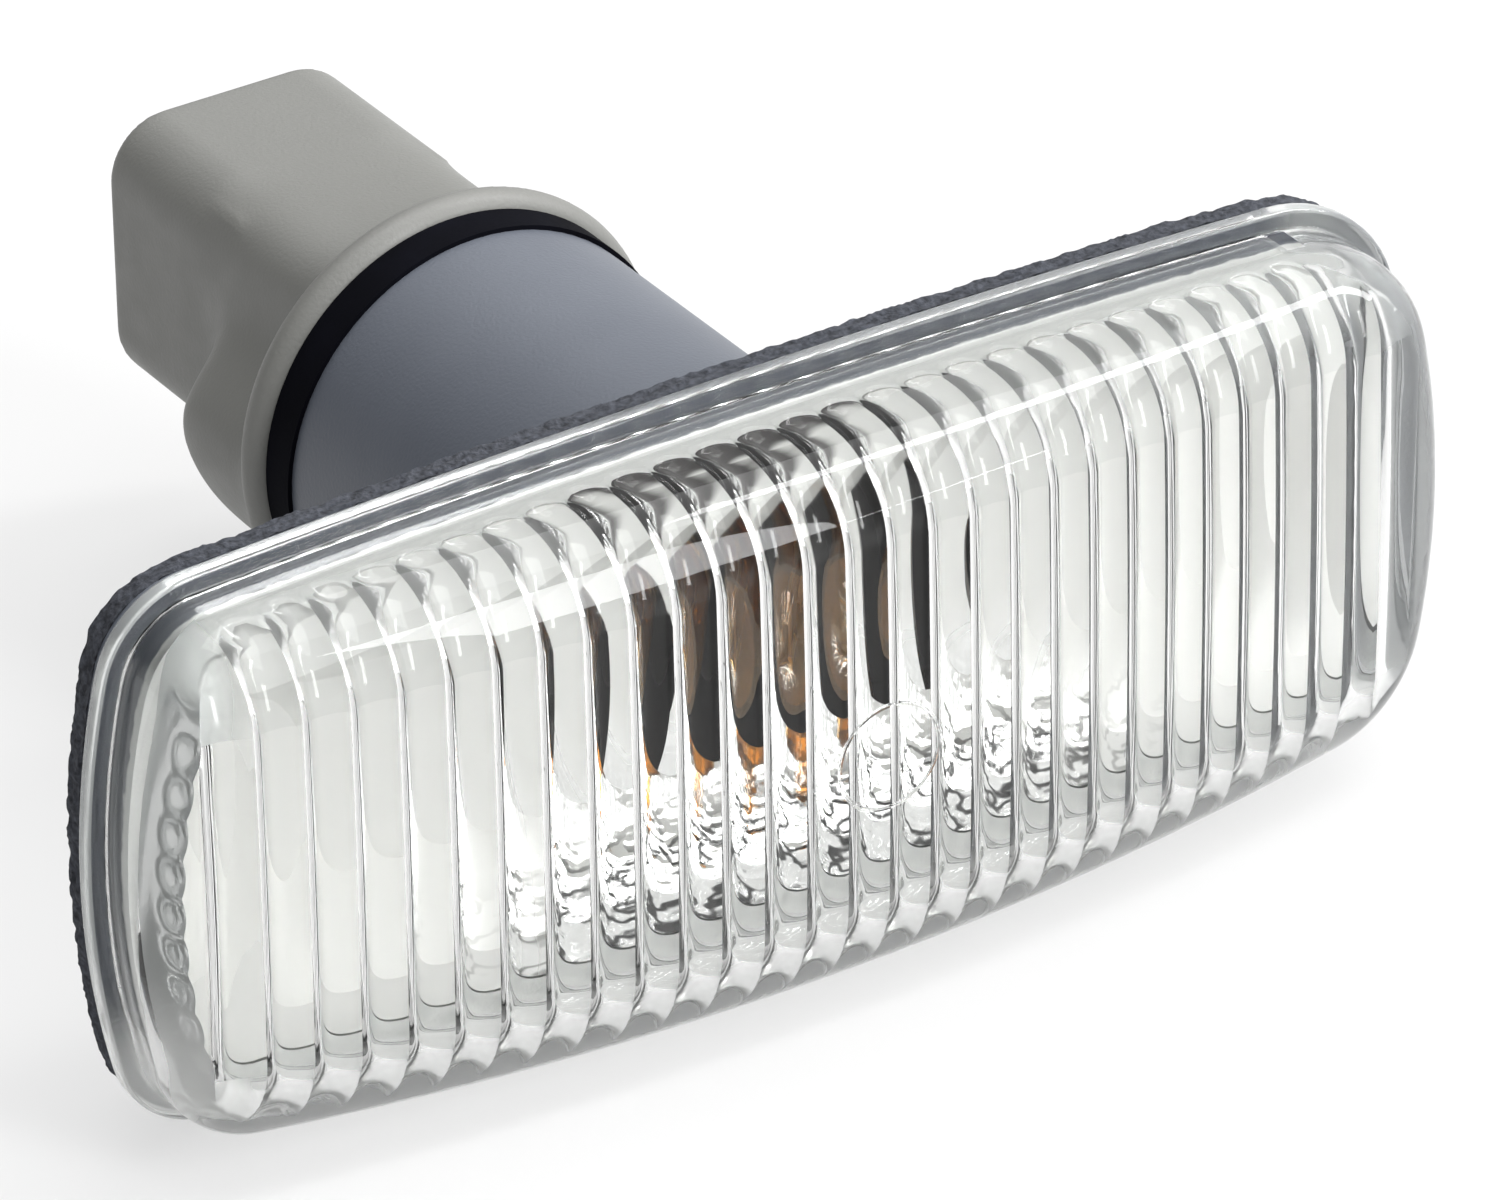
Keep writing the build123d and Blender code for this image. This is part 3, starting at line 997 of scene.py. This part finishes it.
def metal(name, colour, roughness, ripple_scale, ripple):
    """Bare metal with uneven roughness and a fine ripple."""
    material, tree, shader = new_material(name)
    socket_values(shader, Base_Color=colour, Metallic=1.0)
    uneven = noise(tree, metal_rough_scale)
    smoother = grey(roughness * (1 - metal_rough_spread))
    rougher = grey(roughness * (1 + metal_rough_spread))
    rough = ramp(tree, uneven, smoother, rougher)
    tree.links.new(rough, shader.inputs["Roughness"])
    bump(tree, shader, noise(tree, ripple_scale), ripple)
    return material


def bright_reflector():
    """Metallised dish: mirror bright below the bulb, crinkled along its foot with painted shade
    in the folds, satin elsewhere, painted lighter towards the right end and dark brown above the
    bulb.
    """
    material, tree, shader = new_material("bright_reflector")
    outer = span(tree, distance_from(tree, mirror_place, mirror_shape), *mirror_zone)
    rough = full_ramp(tree, outer, grey(mirror_roughness), grey(dish_roughness))
    tree.links.new(rough, shader.inputs["Roughness"])
    tree.links.new(full_ramp(tree, outer, grey(1.0), grey(dish_metal)), shader.inputs["Metallic"])
    crinkle = noise(tree, crinkle_scale, crinkle_detail, crinkle_stretch)
    # Painted shade: the crinkle's folds are coloured dark below the top of the foot
    fold = unsigned(tree, difference(tree, crinkle, 0.5))
    above_foot = span(tree, place_along(tree, "Z"), *crinkle_top_zone)
    clean = larger(tree, above_foot, span(tree, fold, *crease_shade_zone))
    crease_shaded = full_ramp(tree, clean, grey(crease_shade_dark), grey(between_creases))
    # Painted light: lighter towards the right end
    painted_light_right = span(tree, place_along(tree, "X"), *dish_painted_light_zone)
    dish = mix(tree, outer, crease_shaded, full_ramp(tree, painted_light_right, dish_left, dish_painted_light))
    # Dark brown patch on the dish above the bulb
    dark_patch_mask = span(tree, distance_from(tree, dark_patch_place, dark_patch_shape), *dark_patch_zone)
    tree.links.new(mix(tree, dark_patch_mask, dish, dark_brown), shader.inputs["Base Color"])
    plain = larger(tree, outer, product(tree, above_foot, crinkle_top_share))
    bump(tree, shader, product(tree, crinkle, difference(tree, 1, plain)), crinkle_height)
    return material


def amber_glass():
    """Glass with a thin amber lacquer."""
    material, tree, shader = new_material("amber_glass")
    socket_values(shader, Roughness=0.0, IOR=amber_ior, Transmission_Weight=amber_clearness)
    colour = ramp(tree, noise(tree, amber_scale), amber_dark, amber_light)
    tree.links.new(colour, shader.inputs["Base Color"])
    return material


def foam():
    material, tree, shader = new_material("black_foam")
    colour = ramp(tree, noise(tree, foam_scale), foam_dark, foam_light)
    tree.links.new(colour, shader.inputs["Base Color"])
    socket_values(shader, Roughness=foam_roughness)
    bump(tree, shader, noise(tree, foam_scale), foam_height)
    return material


def rubber():
    material, tree, shader = new_material("black_rubber")
    colour = ramp(tree, noise(tree, rubber_scale), rubber_dark, rubber_light)
    tree.links.new(colour, shader.inputs["Base Color"])
    socket_values(shader, Roughness=rubber_roughness, Specular_IOR_Level=rubber_shine)
    bump(tree, shader, noise(tree, rubber_grain_scale), rubber_grain_height)
    return material


def dress(node, material):
    """Gives a solid of the frame its look."""
    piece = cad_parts[node]
    piece.data.materials.clear()
    piece.data.materials.append(material)


def stand_in(piece, node, materials, sharp_angle):
    """Lets a finer piece take the place of a solid of the frame.

    Its faces keep their material numbers, which emptying a list of materials would reset."""
    shade(piece, sharp_angle)
    if piece.data.materials:
        piece.data.materials.clear()
    for material in materials:
        piece.data.materials.append(material)
    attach(piece, BODY)
    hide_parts(node)


def add_camera():
    """Long lens at the viewing angle of the reference view."""
    place = Vector((-310.65, -479.81, 339.61)) * MM
    right = Vector((0.8352, -0.5498, -0.0114))
    down = Vector((-0.2877, -0.4193, -0.8611))
    ahead = Vector((0.4686, 0.7225, -0.5083))
    focal_pixels = 11000
    image_width = 1495
    data = bpy.data.cameras.new("camera")
    data.sensor_width = 36.0
    data.lens = data.sensor_width * focal_pixels / image_width
    data.clip_start = 0.01
    camera = bpy.data.objects.new("camera", data)
    turn = Matrix((right, -down, -ahead)).transposed()
    camera.matrix_world = Matrix.Translation(place) @ turn.to_4x4()
    bpy.context.scene.collection.objects.link(camera)
    bpy.context.scene.camera = camera


def add_softbox(name, azimuth, elevation, width, height, brightness):
    """Rectangular light one metre away in a direction, facing the lamp, of a given radiance."""
    turn = math.radians(azimuth)
    lift = math.radians(elevation)
    level = math.cos(lift)
    place = Vector((level * math.cos(turn), level * math.sin(turn), math.sin(lift)))
    data = bpy.data.lights.new(name, "AREA")
    data.shape = "RECTANGLE"
    data.size = width
    data.size_y = height
    data.energy = brightness * math.pi * width * height
    light = bpy.data.objects.new(name, data)
    light.location = place
    light.rotation_euler = (-place).to_track_quat("-Z", "Y").to_euler()
    bpy.context.scene.collection.objects.link(light)


def add_floor():
    mesh = bpy.data.meshes.new("floor")
    z = cad_box[0][2] - floor_gap
    signs = ((-1, -1), (1, -1), (1, 1), (-1, 1))
    corners = [(sx * floor_half, sy * floor_half, z) for sx, sy in signs]
    mesh.from_pydata(corners, [], [(0, 1, 2, 3)])
    material, tree, shader = new_material("pale_floor")
    socket_values(shader, Base_Color=grey(floor_grey), Roughness=floor_roughness)
    socket_values(shader, Emission_Color=grey(1.0), Emission_Strength=floor_glow)
    mesh.materials.append(material)
    link("floor", mesh)


def add_room_light():
    """White room, brighter towards the right and above than on the left."""
    world = bpy.data.worlds.new("studio")
    world.use_nodes = True
    tree = world.node_tree
    direction = tree.nodes.new("ShaderNodeTexCoord").outputs["Generated"]
    towards = Vector(bright_side).normalized()
    facing = vector_node(tree, "DOT_PRODUCT", direction, towards)["Value"]
    half = math_node(tree, "MULTIPLY_ADD", facing, 0.5)
    half.node.inputs[2].default_value = 0.5
    light = ramp(tree, half, grey(room_dark), grey(room_light), *room_zone)
    tree.links.new(light, tree.nodes["Background"].inputs["Color"])
    bpy.context.scene.world = world


lens_finishes = [clear_plastic("clear_lens")[0], satin_plastic(), ringed_plastic()]
stand_in(make_lens(), "lens", lens_finishes, lens_sharp)
stand_in(make_gasket(), "gasket", [foam()], gasket_sharp)
stand_in(make_holder(), "holder", [holder_plastic()], holder_sharp)
dress("housing", slate_housing())
dress("reflector", bright_reflector())
dress("seal", rubber())
dress("bulb_glass", amber_glass())
contact_metal = metal(*brass)
dress("contact_left", contact_metal)
dress("contact_right", contact_metal)
lead_metal = metal(*lead_wire)
dress("lead_upper", lead_metal)
dress("lead_lower", lead_metal)
dress("filament", metal(*filament_wire))

add_floor()
add_room_light()
add_camera()
for softbox in softboxes:
    add_softbox(*softbox)
bpy.context.scene.view_settings.view_transform = "Standard"
